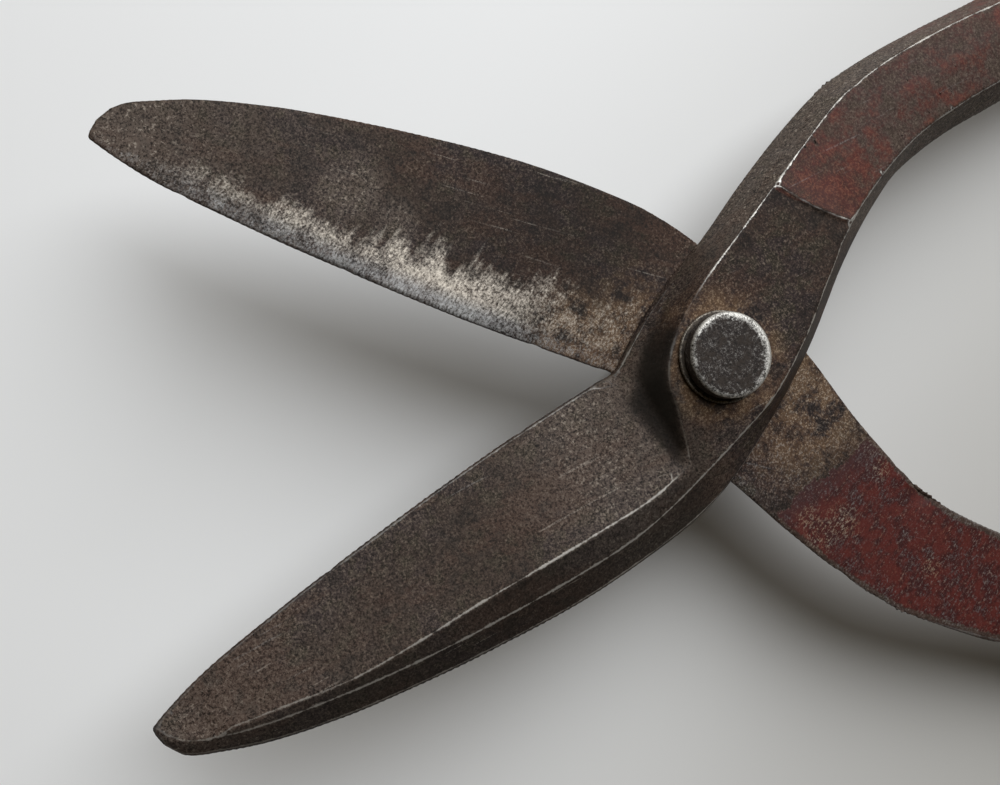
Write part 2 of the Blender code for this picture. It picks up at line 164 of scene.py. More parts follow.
# The wall between the boss and the blade's face, darkened with painted shade: x and y where it starts, is
# full, fades and ends.
WALL_X = (-18.0, -15.5, -5.0, 1.0)
WALL_Y = (-13.0, -10.5, 7.0, 12.0)

# Rounds of smoothing for the CAD facets, the handle's end, the blade's tip, the normals, and the dirt and
# painted shade.
FACET_ROUNDS = 3
END_ROUNDS = 14
TIP_ROUNDS = 5
LEAN_ROUNDS = 2
DIRT_AND_SHADE_ROUNDS = 8
FITTING_ROUNDS = 2
SMOOTH_IN = 0.5
SMOOTH_OUT = 0.52

# Forging waves, each with its wavelength and height in millimetres. They grow from the first x to the
# second on the handle, and the shear face has only a small share of them. Free faces sink by
# FORGING_SINK, and the fittings by FITTING_SINK, so that the waves stay inside the CAD model's box.
LONG_WAVE = (14.0, 0.10)
SHORT_WAVE = (4.5, 0.045)
FINE_WAVE = (1.6, 0.02)
HANDLE_X = (18.0, 60.0)
BLADE_SHARE = 0.45
HANDLE_EXTRA = 0.9
SHEAR_SHARE = 0.12
FORGING_SINK = 0.12
FITTING_WAVE = (1.8, 0.03)
FITTING_SINK = 0.03

FORGING_EDGE = 0.9
FITTING_EDGE = 0.5
BULGE_ROUNDS = 26

# Angles that tell a flat from a worn ridge on the CAD solids, and the limits of dividing them.
FLAT_ANGLE = math.radians(4.0)
RIDGE_ANGLE = math.radians(16.0)
BLADE_RIDGE_ANGLE = math.radians(8.0)
BLADE_END = -12.0 * MM
SAME_POINT = 0.03 * MM
DIVIDING_ROUNDS = 6
BEAUTIFY_LIMIT = 40000
NO_RIDGE_GAP = 99.0
LOOSE_EDGE_ANGLE = 9.0


# ---------------------------------------------------------------- camera, light and floor

def add_to_scene(name, data):
    made = bpy.data.objects.new(name, data)
    bpy.context.scene.collection.objects.link(made)
    return made


def make_camera():
    eye = Vector(CAMERA_EYE) * MM
    aim = Vector(CAMERA_AIM) * MM
    back = (eye - aim).normalized()
    right = Vector(CAMERA_UP).cross(back).normalized()
    turn = Matrix((right, back.cross(right), back)).transposed().to_4x4()
    data = bpy.data.cameras.new("camera")
    data.sensor_width = SENSOR_WIDTH
    data.lens = CAMERA_LENS
    data.clip_start = NEAREST_SEEN * MM
    camera = add_to_scene("camera", data)
    camera.matrix_world = TOOL @ Matrix.Translation(eye) @ turn
    bpy.context.scene.camera = camera


def make_window():
    """A big soft window beyond the blades, turned towards the origin."""
    data = bpy.data.lights.new("window", "AREA")
    data.shape = "DISK"
    data.size = WINDOW_SIZE
    data.energy = WINDOW_POWER
    data.color = WINDOW_COLOUR
    window = add_to_scene("window", data)
    window.location = WINDOW_PLACE
    window.rotation_euler = Vector(WINDOW_PLACE).to_track_quat("Z", "Y").to_euler()


def make_room():
    """A dim warm room, lighter towards +Y. The camera itself sees it in one plain pale tone."""
    world = bpy.data.worlds.new("room")
    world.use_nodes = True
    bpy.context.scene.world = world
    tree = world.node_tree
    spot = tree.nodes.new("ShaderNodeTexCoord")
    split = tree.nodes.new("ShaderNodeSeparateXYZ")
    tree.links.new(spot.outputs["Generated"], split.inputs[0])
    ramp = tree.nodes.new("ShaderNodeValToRGB")
    ramp.color_ramp.elements[0].position = ROOM_DARK_END
    ramp.color_ramp.elements[0].color = (*ROOM_DARK, 1.0)
    ramp.color_ramp.elements[1].position = ROOM_LIGHT_END
    ramp.color_ramp.elements[1].color = (*ROOM_LIGHT, 1.0)
    half_way = tree.nodes.new("ShaderNodeMapRange")
    half_way.inputs["From Min"].default_value = -1.0
    tree.links.new(split.outputs["Y"], half_way.inputs["Value"])
    tree.links.new(half_way.outputs["Result"], ramp.inputs["Fac"])
    tree.links.new(ramp.outputs["Color"], tree.nodes["Background"].inputs["Color"])
    seen = tree.nodes.new("ShaderNodeBackground")
    seen.inputs["Color"].default_value = (*ROOM_SEEN, 1.0)
    path = tree.nodes.new("ShaderNodeLightPath")
    choose = tree.nodes.new("ShaderNodeMixShader")
    tree.links.new(path.outputs["Is Camera Ray"], choose.inputs[0])
    tree.links.new(tree.nodes["Background"].outputs[0], choose.inputs[1])
    tree.links.new(seen.outputs[0], choose.inputs[2])
    tree.links.new(choose.outputs[0], tree.nodes["World Output"].inputs["Surface"])


def make_floor():
    level = CAD_BOX[0].z - TABLE_GAP
    corners = [(x * TABLE_HALF, y * TABLE_HALF, level) for x, y in ((-1, -1), (1, -1), (1, 1), (-1, 1))]
    mesh = bpy.data.meshes.new("table_top")
    mesh.from_pydata(corners, [], [(0, 1, 2, 3)])
    floor = add_to_scene("table_top", mesh)
    s = Shader("table_top")
    spot = s.object_mm()
    # Painted shade: the table darkens along one direction, where the light falls off.
    painted_shade = s.ramp(s.dot(spot, TABLE_SHADE_WAY), TABLE_SHADE_START, TABLE_SHADE_END)
    tone = s.mix_colour(painted_shade, TABLE_PALE, TABLE_SHADE)
    grain = s.noise(spot, per_mm=0.02, detail=2.0, roughness=0.5)
    s.set("Base Color", s.layer(tone, TABLE_GRAIN, grain, 0.08))
    s.set("Roughness", 0.62)
    mesh.materials.append(s.material)


# ---------------------------------------------------------------- materials

class Shader:
    """A Principled material written as a few short calls."""

    def __init__(self, name):
        self.material = bpy.data.materials.new(name)
        self.material.use_nodes = True
        self.tree = self.material.node_tree
        self.principled = self.tree.nodes["Principled BSDF"]

    def add(self, kind, **settings):
        node = self.tree.nodes.new(kind)
        for key, value in settings.items():
            setattr(node, key, value)
        return node

    def feed(self, socket, value):
        if isinstance(value, bpy.types.NodeSocket):
            self.tree.links.new(value, socket)
        elif isinstance(value, tuple) and len(value) == 3 and socket.type == "RGBA":
            socket.default_value = (*value, 1.0)
        else:
            socket.default_value = value

    def set(self, name, value):
        self.feed(self.principled.inputs[name], value)

    def math(self, operation, a, b=0.0, clamp=False):
        node = self.add("ShaderNodeMath", operation=operation, use_clamp=clamp)
        self.feed(node.inputs[0], a)
        self.feed(node.inputs[1], b)
        return node.outputs[0]

    def scale(self, value, weight):
        return value if weight == 1.0 else self.math("MULTIPLY", value, weight)

    def sum_of(self, *terms, offset=0.0):
        """Add up pairs of a value and its weight, and an offset."""
        total = self.scale(*terms[0])
        for value, weight in terms[1:]:
            total = self.math("ADD", total, self.scale(value, weight))
        return total if offset == 0.0 else self.math("ADD", total, offset)

    def centred(self, value):
        """A noise moved so that its middle is at 0."""
        return self.sum_of((value, 1.0), offset=-0.5)

    def both(self, *masks):
        total = masks[0]
        for mask in masks[1:]:
            total = self.math("MULTIPLY", total, mask, clamp=True)
        return total

    def either(self, a, b):
        return self.math("MAXIMUM", a, b)

    def without(self, a, b):
        """Mask a where mask b isn't."""
        return self.both(a, self.math("SUBTRACT", 1.0, b, clamp=True))

    def ramp(self, value, low, high):
        """A mask that is 0 at low and 1 at high, which may be the smaller of the two."""
        node = self.add("ShaderNodeMapRange", interpolation_type="SMOOTHSTEP")
        for key, setting in zip(("Value", "From Min", "From Max"), (value, low, high)):
            self.feed(node.inputs[key], setting)
        return node.outputs["Result"]

    def mix(self, data_type, mask, a, b):
        node = self.add("ShaderNodeMix", data_type=data_type)
        sockets = [socket for socket in node.inputs if socket.enabled]
        for socket, value in zip(sockets, (mask, a, b)):
            self.feed(socket, value)
        return next(socket for socket in node.outputs if socket.enabled)

    def mix_colour(self, mask, a, b):
        return self.mix("RGBA", mask, a, b)

    def mix_value(self, mask, a, b):
        return self.mix("FLOAT", mask, a, b)

    def layer(self, colour, tone, mask, amount=1.0):
        """A tone laid over a colour where a mask says so."""
        return self.mix_colour(self.scale(mask, amount), colour, tone)

    def object_mm(self):
        spot = self.add("ShaderNodeTexCoord").outputs["Object"]
        node = self.add("ShaderNodeVectorMath", operation="SCALE")
        self.feed(node.inputs[0], spot)
        self.feed(node.inputs["Scale"], 1.0 / MM)
        return node.outputs[0]

    def own_mm(self):
        """Where a point lies in its piece's own frame, as stored on the mesh."""
        return self.add("ShaderNodeAttribute", attribute_name="own_place").outputs["Vector"]

    def stretch(self, vector, factors, turn_deg=0.0):
        """A place turned about Z, then scaled, so that noise on it is drawn out along a direction."""
        turned = self.add("ShaderNodeMapping", vector_type="POINT")
        self.feed(turned.inputs["Vector"], vector)
        turned.inputs["Rotation"].default_value = (0.0, 0.0, math.radians(turn_deg))
        node = self.add("ShaderNodeMapping", vector_type="POINT")
        self.feed(node.inputs["Vector"], turned.outputs[0])
        node.inputs["Scale"].default_value = factors
        return node.outputs[0]

    def dot(self, vector, direction):
        node = self.add("ShaderNodeVectorMath", operation="DOT_PRODUCT")
        self.feed(node.inputs[0], vector)
        node.inputs[1].default_value = direction
        return node.outputs["Value"]

    def part_of(self, vector, letter):
        node = self.add("ShaderNodeSeparateXYZ")
        self.feed(node.inputs[0], vector)
        return node.outputs[letter]

    def distance_to(self, vector, point):
        node = self.add("ShaderNodeVectorMath", operation="DISTANCE")
        self.feed(node.inputs[0], vector)
        node.inputs[1].default_value = point
        return node.outputs["Value"]

    def noise(self, vector, per_mm, detail, roughness, seed=0.0):
        node = self.add("ShaderNodeTexNoise", noise_dimensions="4D")
        self.feed(node.inputs["Vector"], vector)
        node.inputs["W"].default_value = seed
        node.inputs["Scale"].default_value = per_mm
        node.inputs["Detail"].default_value = detail
        node.inputs["Roughness"].default_value = roughness
        return node.outputs["Fac"]

    def mark(self, name):
        """A mask stored on the mesh."""
        return self.add("ShaderNodeAttribute", attribute_name=name).outputs["Fac"]

    def bump(self, height, distance_mm, strength, below=None):
        node = self.add("ShaderNodeBump")
        self.feed(node.inputs["Height"], height)
        node.inputs["Distance"].default_value = distance_mm * MM
        node.inputs["Strength"].default_value = strength
        if below is not None:
            self.feed(node.inputs["Normal"], below)
        return node.outputs["Normal"]


PATINA_BROWN = (0.036, 0.0225, 0.016)
PATINA_VIOLET = (0.029, 0.019, 0.018)
PATINA_OLIVE = (0.034, 0.027, 0.017)
PATINA_RED = (0.052, 0.027, 0.018)
PATINA_BLACK_AND_SHADE = (0.007, 0.0055, 0.004)
DUSTY_GREY = (0.200, 0.155, 0.118)
# Pale dirt and dust tones, also laid as a painted reflection towards the blade's tip.
PALE_DIRT_AND_SHEEN = (0.330, 0.280, 0.225)
DUST_AND_SHEEN_TONE = (0.150, 0.118, 0.094)
RUST_BROWN = (0.105, 0.060, 0.032)
RUST_TAN = (0.300, 0.205, 0.125)
BARE_STEEL = (0.40, 0.355, 0.295)
COOL_STEEL = (0.23, 0.225, 0.215)
WORN_EDGE = (0.56, 0.53, 0.48)
# Painted bounce light from the table, in an olive tone, on the blade's steep side face.
FLANK_BOUNCE_LIGHT = (0.085, 0.079, 0.061)
PAINT_RED = (0.083, 0.0165, 0.012)
PAINT_DARK = (0.036, 0.009, 0.008)
PAINT_VIOLET = (0.040, 0.018, 0.017)
UNDER_PAINT = (0.085, 0.048, 0.036)
PAINT_FADED = (0.235, 0.105, 0.062)

# Along PAINT_LINE, the paint starts this many millimetres from the pivot, this raggedly, and it is
# chipped this near a ridge. The back half shows its shear side, where the paint starts in a smear. The
# front half's paint starts at a step.
PAINT_LINE = (0.790, 0.613, 0.0)
SMEARED_PAINT = {"start": 28.4, "ragged": 1.0, "rim": 1.9}
STEPPED_PAINT = {"start": 29.9, "ragged": 0.2, "rim": 1.2}


class ForgingShader(Shader):
    """Old forged steel, as layers over shared noises and the masks that forge stores on the mesh."""

    def __init__(self, name, seed, shear_shown):
        super().__init__(name)
        self.seed = seed
        self.shear_shown = shear_shown
        self.spot = self.own_mm()
        self.cloud = self.noise(self.spot, per_mm=0.06, detail=4.0, roughness=0.6, seed=seed)
        self.patch = self.noise(self.spot, per_mm=0.30, detail=5.0, roughness=0.62, seed=seed + 1.0)
        self.speck = self.noise(self.spot, per_mm=1.4, detail=4.0, roughness=0.8, seed=seed + 2.0)
        self.grit = self.noise(self.spot, per_mm=2.9, detail=3.0, roughness=0.8, seed=seed + 3.0)
        self.strokes = self.drawn_noise((2.6, 1.1, 2.0), -18.0, detail=4.0, roughness=0.75, step=4.0)
        self.smear = self.drawn_noise((0.95, 0.26, 0.6), -24.0, detail=4.0, roughness=0.65, step=7.0)
        self.ridge_gap = self.mark("ridge_gap")
        self.hollow_dirt_and_wall_shade = self.mark("hollow_dirt_and_wall_shade")
        line = SMEARED_PAINT if shear_shown else STEPPED_PAINT
        self.past_line = self.sum_of((self.dot(self.spot, PAINT_LINE), 1.0), offset=-line["start"])
        self.ragged = line["ragged"]
        self.rim = line["rim"]

    def drawn_noise(self, factors, turn_deg, detail, roughness, step, per_mm=1.0):
        """Noise drawn out along a direction, with the material's seed moved on by a step."""
        place = self.stretch(self.spot, factors, turn_deg)
        return self.noise(place, per_mm, detail, roughness, self.seed + step)

    def patina(self):
        """Brown skin mottled at three sizes, with pale and dark grains, dust and grime on it, a painted
        reflection towards the blade's tip, painted shade on the spine band and painted bounce light on the
        flank.
        """
        dust_and_sheen = self.mark("dust_and_sheen")
        drift = self.drawn_noise((0.045, 0.16, 0.2), 8.0, detail=4.0, roughness=0.6, step=8.0)
        colour = self.mix_colour(self.ramp(self.cloud, 0.42, 0.58), PATINA_BROWN, PATINA_VIOLET)
        colour = self.layer(colour, PATINA_OLIVE, self.ramp(self.patch, 0.50, 0.62), 0.8)
        reddish = self.ramp(self.sum_of((drift, 1.0), (self.speck, 0.3)), 0.62, 0.76)
        colour = self.layer(colour, PATINA_RED, reddish, 0.85)
        colour = self.layer(colour, PATINA_BLACK_AND_SHADE, self.ramp(self.patch, 0.47, 0.38), 0.55)
        colour = self.layer(colour, PATINA_BLACK_AND_SHADE, self.ramp(self.grit, 0.52, 0.36), 0.85)

        dusty = self.ramp(self.sum_of((self.speck, 1.0), (self.cloud, 0.6), (self.patch, 0.5)), 0.92, 1.22)
        grains = self.both(self.ramp(self.grit, 0.50, 0.66), self.sum_of((dusty, 0.8), offset=0.2))
        colour = self.layer(colour, DUSTY_GREY, grains, 0.80)
        # Dust and, towards the tip of the shear face, a painted reflection of the window.
        dust_and_sheen_film = self.both(dust_and_sheen, self.ramp(self.grit, 0.36, 0.60))
        colour = self.layer(colour, DUST_AND_SHEEN_TONE, dust_and_sheen_film, 0.55)
        lumps = self.ramp(self.sum_of((self.speck, 1.0), (self.grit, 0.4)), 0.75, 0.87)
        crumbs_and_sheen = self.both(self.ramp(dust_and_sheen, 0.55, 1.1), lumps)
        colour = self.layer(colour, PALE_DIRT_AND_SHEEN, crumbs_and_sheen, 0.75)
        # Painted shade on the spine band, where the blade's faces tilt away from the window, and grime on
        # the shear face.
        dark = self.either(self.scale(self.mark("spine_band_shade"), 0.60), self.scale(self.mark("grime"), 0.32))
        colour = self.layer(colour, PATINA_BLACK_AND_SHADE, dark)
        # Painted bounce light from the table on the blade's steep side face.
        return self.layer(colour, FLANK_BOUNCE_LIGHT, self.mark("flank"), 0.80)

    def rust_dirt_and_wall_shade(self, colour):
        """Brown rust round the pivot, dirt in the hollows, and painted shade on the wall between the boss
        and the blade's face.
        """
        rusty = self.ramp(self.sum_of((self.patch, 1.0), (self.speck, 0.5)), 0.62, 0.86)
        rust = self.both(self.mark("pivot_near"), rusty)
        rust_tone = self.mix_colour(self.ramp(self.grit, 0.50, 0.62), RUST_BROWN, RUST_TAN)
        colour = self.layer(colour, rust_tone, rust, 0.85)
        patches = (self.centred(self.patch), 0.7)
        grains = (self.centred(self.grit), 0.5)
        # Darkened in the hollows by dirt and on the boss's wall by painted shade.
        dirt_and_wall_shade = self.ramp(self.sum_of((self.hollow_dirt_and_wall_shade, 1.0), patches, grains), 0.15, 1.05)
        return self.layer(colour, PATINA_BLACK_AND_SHADE, dirt_and_wall_shade, 0.90)

    def bare_steel(self):
        """Masks of the band along the cutting edge, ragged on its inner side, and of bare steel."""
        finger = self.drawn_noise((0.55, 0.10, 0.5), -18.0, detail=3.0, roughness=0.6, step=6.0)
        streaks = self.drawn_noise((0.07, 2.6, 2.4), 6.0, detail=2.0, roughness=0.6, step=5.0, per_mm=0.7)
        depth = self.mark("edge_depth")
        border = self.sum_of((depth, 1.0), (finger, -1.9), (self.patch, -0.8), (self.grit, -0.5))
        band = self.both(self.ramp(border, -0.52, -1.05), self.mark("shear_face"))
        along = self.mark("bare_along")
        cover = self.sum_of((self.strokes, 0.8), (self.grit, 0.7), (along, 0.26), (self.patch, 0.4))
        bare = self.both(band, self.ramp(cover, 0.99, 1.38))
        scratched = self.both(self.ramp(self.grit, 0.40, 0.54), self.ramp(self.cloud, 0.44, 0.54))
        scratch = self.both(self.ramp(streaks, 0.655, 0.70), scratched)
        return band, self.either(bare, self.scale(scratch, 0.30))

    def paint_masks(self):
        """Masks of where the paint reaches, and of what is left of it."""
        patches = (self.centred(self.patch), 9.0 * self.ragged)
        specks = (self.centred(self.speck), 3.0 * self.ragged)
        held = self.ramp(self.sum_of((self.past_line, 1.0), patches, specks), -0.25, 0.25)
        if self.shear_shown:
            worn = (self.patch, -0.6), (self.smear, -0.7), (self.speck, -0.3), (self.grit, -0.3)
            left = self.sum_of(*worn, offset=1.36)
        else:
            fade = (self.ramp(self.past_line, 5.0, 16.0), -0.22)
            kept = (self.ramp(self.past_line, 38.0, 60.0), 0.10)
            worn = (self.patch, -1.0), (self.speck, -0.4), (self.grit, -0.3), fade, kept
            left = self.sum_of(*worn, offset=1.16)
            flank_too = self.ramp(self.past_line, 30.0, 50.0)
            held = self.both(held, self.sum_of((self.mark("top_face"), 1.0), (flank_too, 1.0)))
        off_rim = self.ramp(self.sum_of((self.ridge_gap, 1.0), (self.smear, 2.2)), self.rim, self.rim + 0.5)
        return held, self.both(held, self.ramp(left, 0.0, 0.32), off_rim)

    def paint_tone(self):
        """Dull red, darker in patches, violet at its start and faded in strokes."""
        patches = self.ramp(self.sum_of((self.patch, 0.6), (self.smear, 0.5)), 0.62, 0.48)
        red = self.mix_colour(patches, PAINT_DARK, PAINT_RED)
        red = self.layer(red, PAINT_DARK, self.ramp(self.grit, 0.52, 0.34), 0.6)
        near_start = self.ramp(self.sum_of((self.past_line, 1.0), (self.smear, 8.0)), 10.0, 4.0)
        red = self.layer(red, PAINT_VIOLET, near_start, 0.75)
        stroked = self.ramp(self.sum_of((self.strokes, 1.0), (self.grit, 0.3)), 0.66, 0.84)
        red = self.layer(red, PAINT_FADED, self.both(stroked, self.ramp(self.smear, 0.42, 0.62)), 0.8)
        if not self.shear_shown:
            grains = self.sum_of((self.ramp(self.grit, 0.46, 0.64), 0.42), offset=0.06)
            red = self.layer(red, PAINT_FADED, grains)
        return red

    def rubbed_edges(self):
        """Mask of the ridges that are rubbed bright."""
        gap = self.sum_of((self.ridge_gap, 1.0), (self.speck, -0.8), (self.patch, -0.9))
        return self.both(self.without(self.ramp(gap, -0.58, -0.86), self.hollow_dirt_and_wall_shade), self.mark("ridge_wear"))


def forging_material(name, seed, shear_shown):
    """Old forged steel: patina, bare cutting band, rust at the pivot, worn edges and painted handle, with
    painted shade on the spine band and the boss's wall, a painted reflection towards the tip and painted
    bounce light on the blade's side face.
    """
    s = ForgingShader(name, seed, shear_shown)
    colour = s.rust_dirt_and_wall_shade(s.patina())
    band, bare = s.bare_steel()
    held, paint = s.paint_masks()
    colour = s.layer(colour, UNDER_PAINT, held, 0.30)
    colour = s.layer(colour, s.paint_tone(), paint)
    scraped = s.ramp(s.sum_of((s.strokes, 1.0), (s.grit, 0.7)), 0.84, 1.0)
    colour = s.layer(colour, RUST_TAN, s.both(s.mark("rub_spot"), scraped), 0.7)
    rubbed = s.rubbed_edges()
    metal = s.either(bare, rubbed)
    steel = s.mix_colour(s.ramp(s.mark("edge_mm"), 4.5, 1.5), BARE_STEEL, COOL_STEEL)
    colour = s.layer(colour, s.layer(steel, WORN_EDGE, rubbed), metal)

    rough = s.sum_of((s.patch, 0.25), (s.grit, 0.25), offset=0.40)
    rough = s.mix_value(metal, rough, s.sum_of((s.grit, 0.3), offset=0.30))
    rough = s.mix_value(paint, rough, s.sum_of((s.grit, 0.35), offset=0.32))
    pits = s.bump(s.sum_of((s.speck, 0.8), (s.grit, 0.5)), distance_mm=0.07, strength=0.9)
    raised = s.bump(s.sum_of((paint, 1.0), (band, -0.2)), distance_mm=0.03, strength=0.6, below=pits)
    s.set("Base Color", colour)
    s.set("Metallic", s.scale(metal, 0.9))
    s.set("Roughness", rough)
    s.set("Specular IOR Level", 0.12)
    s.set("Normal", raised)
    return s.material


# The bolt head is rubbed bright towards its rim, between these sums of radius and noise, and not on
# its side, which ends at this height over the pivot's frame. The rim's centre is moved off the axis, so
# that the bright rim is wider on one side: wear, and a painted highlight.
HEAD_WEAR_AND_HIGHLIGHT_CENTRE = (-0.50, -0.25, 0.0)
RIM_LOW = 9.5
RIM_HIGH = 10.8
HEAD_SIDE_TOP = 11.7
HEAD_ROUNDING = 0.6


def fitting_material(name, seed, base, dark, bright, is_bolt):
    """Plain steel of the bolt, washers and nuts: dull skin, dark specks and rubbed edges, and on the bolt
    head a rim brighter on one side, a painted highlight.
    """
    s = Shader(name)
    p = s.own_mm()
    patch = s.noise(p, per_mm=0.45, detail=4.0, roughness=0.6, seed=seed)
    speck = s.noise(p, per_mm=2.4, detail=4.0, roughness=0.8, seed=seed + 1.0)
    grit = s.noise(p, per_mm=5.0, detail=2.0, roughness=0.8, seed=seed + 2.0)
    colour = s.mix_colour(s.ramp(patch, 0.40, 0.60), base, dark)
    colour = s.layer(colour, PATINA_BLACK_AND_SHADE, s.ramp(speck, 0.50, 0.38), 0.8)
    grains = s.ramp(s.sum_of((speck, 1.0), (grit, 0.7)), 0.86, 1.02)
    flecks = s.both(grains, s.ramp(patch, 0.42, 0.56))
    gap = s.sum_of((s.mark("ridge_gap"), 1.0), (speck, -1.2), (patch, -0.8))
    worn = s.ramp(gap, -0.75, -1.10)
    if is_bolt:
        # The rim is centred off the bolt's axis: wear, and a painted highlight on one side.
        radius = s.distance_to(s.stretch(p, (1.0, 1.0, 0.0)), HEAD_WEAR_AND_HIGHLIGHT_CENTRE)
        ragged = s.sum_of((radius, 1.0), (speck, 3.5), (grit, 2.0), (patch, 2.0))
        rim = s.ramp(ragged, RIM_LOW, RIM_HIGH)
        broken = s.ramp(s.sum_of((speck, 1.0), (grit, 0.6)), 0.58, 0.80)
        on_top = s.ramp(s.part_of(p, "Z"), HEAD_SIDE_TOP, HEAD_SIDE_TOP + HEAD_ROUNDING)
        worn = s.both(s.either(s.scale(worn, 0.4), rim), broken, on_top)
    metal = s.either(s.scale(flecks, 0.22), worn)
    s.set("Base Color", s.layer(colour, bright, metal))
    s.set("Metallic", s.scale(metal, 0.95))
    s.set("Roughness", s.sum_of((patch, 0.2), (speck, 0.3), offset=0.24))
    s.set("Specular IOR Level", 0.15)
    pits = s.sum_of((speck, 1.0), (patch, 0.6), (grit, 0.4))
    s.set("Normal", s.bump(pits, distance_mm=0.09, strength=1.0))
    return s.material


# ---------------------------------------------------------------- fine meshes

class Skin:
    """A fine mesh of a CAD solid, as arrays in millimetres in the piece's own frame."""

    def __init__(self, node, pose, longest):
        self.pose = pose
        self.mesh = bpy.data.meshes.new(node + "_fine")
        shape = bmesh.new()
        shape.from_mesh(frame["nodes"][node].data)
        shape.transform(pose.inverted())
        bmesh.ops.remove_doubles(shape, verts=shape.verts, dist=SAME_POINT)
        self.divide(shape, longest * MM)
        shape.verts.index_update()
        ridge_points = self.ridge_points(shape)
        shape.to_mesh(self.mesh)
        shape.free()
        count = len(self.mesh.vertices)
        places = np.zeros(count * 3)
        self.mesh.vertices.foreach_get("co", places)
        self.points = places.reshape(-1, 3) / MM
        pairs = np.zeros(len(self.mesh.edges) * 2, dtype=np.int32)
        self.mesh.edges.foreach_get("vertices", pairs)
        self.pairs = pairs.reshape(-1, 2)
        self.degree = np.bincount(self.pairs.ravel(), minlength=count).clip(1)
        self.ridge_gap = self.gap_to(ridge_points)
        self.refresh_normals()

    @staticmethod
    def divide(shape, longest):
        """Halve long edges round by round, keeping the triangles well shaped on the flats."""
        for _ in range(DIVIDING_ROUNDS):
            long_edges = [e for e in shape.edges if e.calc_length() > longest]
            if not long_edges:
                break
            bmesh.ops.subdivide_edges(shape, edges=long_edges, cuts=1)
            bmesh.ops.triangulate(shape, faces=shape.faces[:])
            if len(shape.faces) < BEAUTIFY_LIMIT:
                flat = [e for e in shape.edges if e.calc_face_angle(LOOSE_EDGE_ANGLE) < FLAT_ANGLE]
                bmesh.ops.beautify_fill(shape, faces=shape.faces[:], edges=flat, method="AREA")

    @staticmethod
    def ridge_points(shape):
        """Indices of the points that lie on a ridge."""
        ridges = set()
        for edge in shape.edges:
            on_blade = edge.verts[0].co.x < BLADE_END
            limit = BLADE_RIDGE_ANGLE if on_blade else RIDGE_ANGLE
            if edge.calc_face_angle(0.0) > limit and edge.is_convex:
                ridges.update(v.index for v in edge.verts)
        return sorted(ridges)

    def gap_to(self, indices):
        """Distance from each point to the nearest of some points, in millimetres."""
        if not indices:
            return np.full(len(self.points), NO_RIDGE_GAP)
        tree = KDTree(len(indices))
        for order, index in enumerate(indices):
            tree.insert(self.points[index], order)
        tree.balance()
        return np.array([tree.find(point)[2] for point in self.points])

    def refresh_normals(self):
        self.mesh.vertices.foreach_set("co", (self.points * MM).ravel())
        self.mesh.update()
        normals = np.zeros(len(self.points) * 3)
        self.mesh.vertex_normals.foreach_get("vector", normals)
        self.normals = normals.reshape(-1, 3)

    def neighbour_mean(self, values):
        first, second = self.pairs.T
        count = len(values)
        total = np.stack([
            np.bincount(first, values[second, k], count) + np.bincount(second, values[first, k], count)
            for k in range(values.shape[1])
        ], axis=1)
        return total / self.degree[:, None]

    def smooth(self, values, rounds, keep_size=False):
        """Move values halfway to their neighbours' mean, and out again if the size is kept."""
        for _ in range(rounds):
            values = values + SMOOTH_IN * (self.neighbour_mean(values) - values)
            if keep_size:
                values = values - SMOOTH_OUT * (self.neighbour_mean(values) - values)
        return values

    def bulge(self, rounds):
        """How far each point stands out from its smoothed surroundings, in millimetres."""
        level = self.smooth(self.points, rounds)
        return ((self.points - level) * self.normals).sum(axis=1)

    def lift(self, height):
        """Move each point along its normal."""
        self.points = self.points + self.normals * height[:, None]
        self.refresh_normals()

    def store(self, name, values):
        layer = self.mesh.attributes.new(name, "FLOAT", "POINT")
        layer.data.foreach_set("value", np.ascontiguousarray(values, dtype=np.float32))

    def piece(self, name):
        """The finished object, with its vertices in the row frame."""
        place = self.mesh.attributes.new("own_place", "FLOAT_VECTOR", "POINT")
        place.data.foreach_set("vector", np.ascontiguousarray(self.points, dtype=np.float32).ravel())
        self.mesh.materials.clear()
        self.mesh.transform(self.pose)
        self.mesh.shade_smooth()
        return add_to_scene(name, self.mesh)


# How far apart two seeds lie in the noise.
SEED_STEP = (17.3, 5.1, 9.7)


def rising(values, start, full):
    """A soft step from 0 at start to 1 at full."""
    t = np.clip((values - start) / (full - start), 0.0, 1.0)
    return t * t * (3.0 - 2.0 * t)


def falling(values, full, end):
    """A soft step from 1 at full down to 0 at end."""
    return rising(-values, -end, -full)


def within(values, start, full, fading, end):
    """A soft mask that is 1 from full to fading, and 0 outside start and end."""
    return rising(values, start, full) * falling(values, fading, end)


def wave_field(points, wave, seed):
    """Smooth waves at each point, of a wavelength and a height."""
    wavelength, height = wave
    shift = Vector([seed * step for step in SEED_STEP])
    return height * np.array([noise.noise(Vector(p) / wavelength + shift) for p in points])


def spots(x, y, places):
    """A mask of soft round spots, each given as its x, y and radius."""
    masks = [falling(np.hypot(x - cx, y - cy), 0.25 * size, size) for cx, cy, size in places]
    return np.max(masks, axis=0)


def round_ends(skin):
    """Soften the CAD facets everywhere, and round the handle's end and the blade's tip further."""
    skin.points = skin.smooth(skin.points, FACET_ROUNDS, keep_size=True)
    rounded = skin.smooth(skin.points, END_ROUNDS, keep_size=True)
    at_end = rising(skin.points[:, 0], END_ROUND_START, END_ROUND_FULL)[:, None]
    skin.points = skin.points + at_end * (rounded - skin.points)
    at_tip = falling(skin.points[:, 0], TIP_ROUND_FULL, TIP_ROUND_START)[:, None]
    skin.points = skin.points + at_tip * (skin.smooth(skin.points, TIP_ROUNDS) - skin.points)
    skin.refresh_normals()


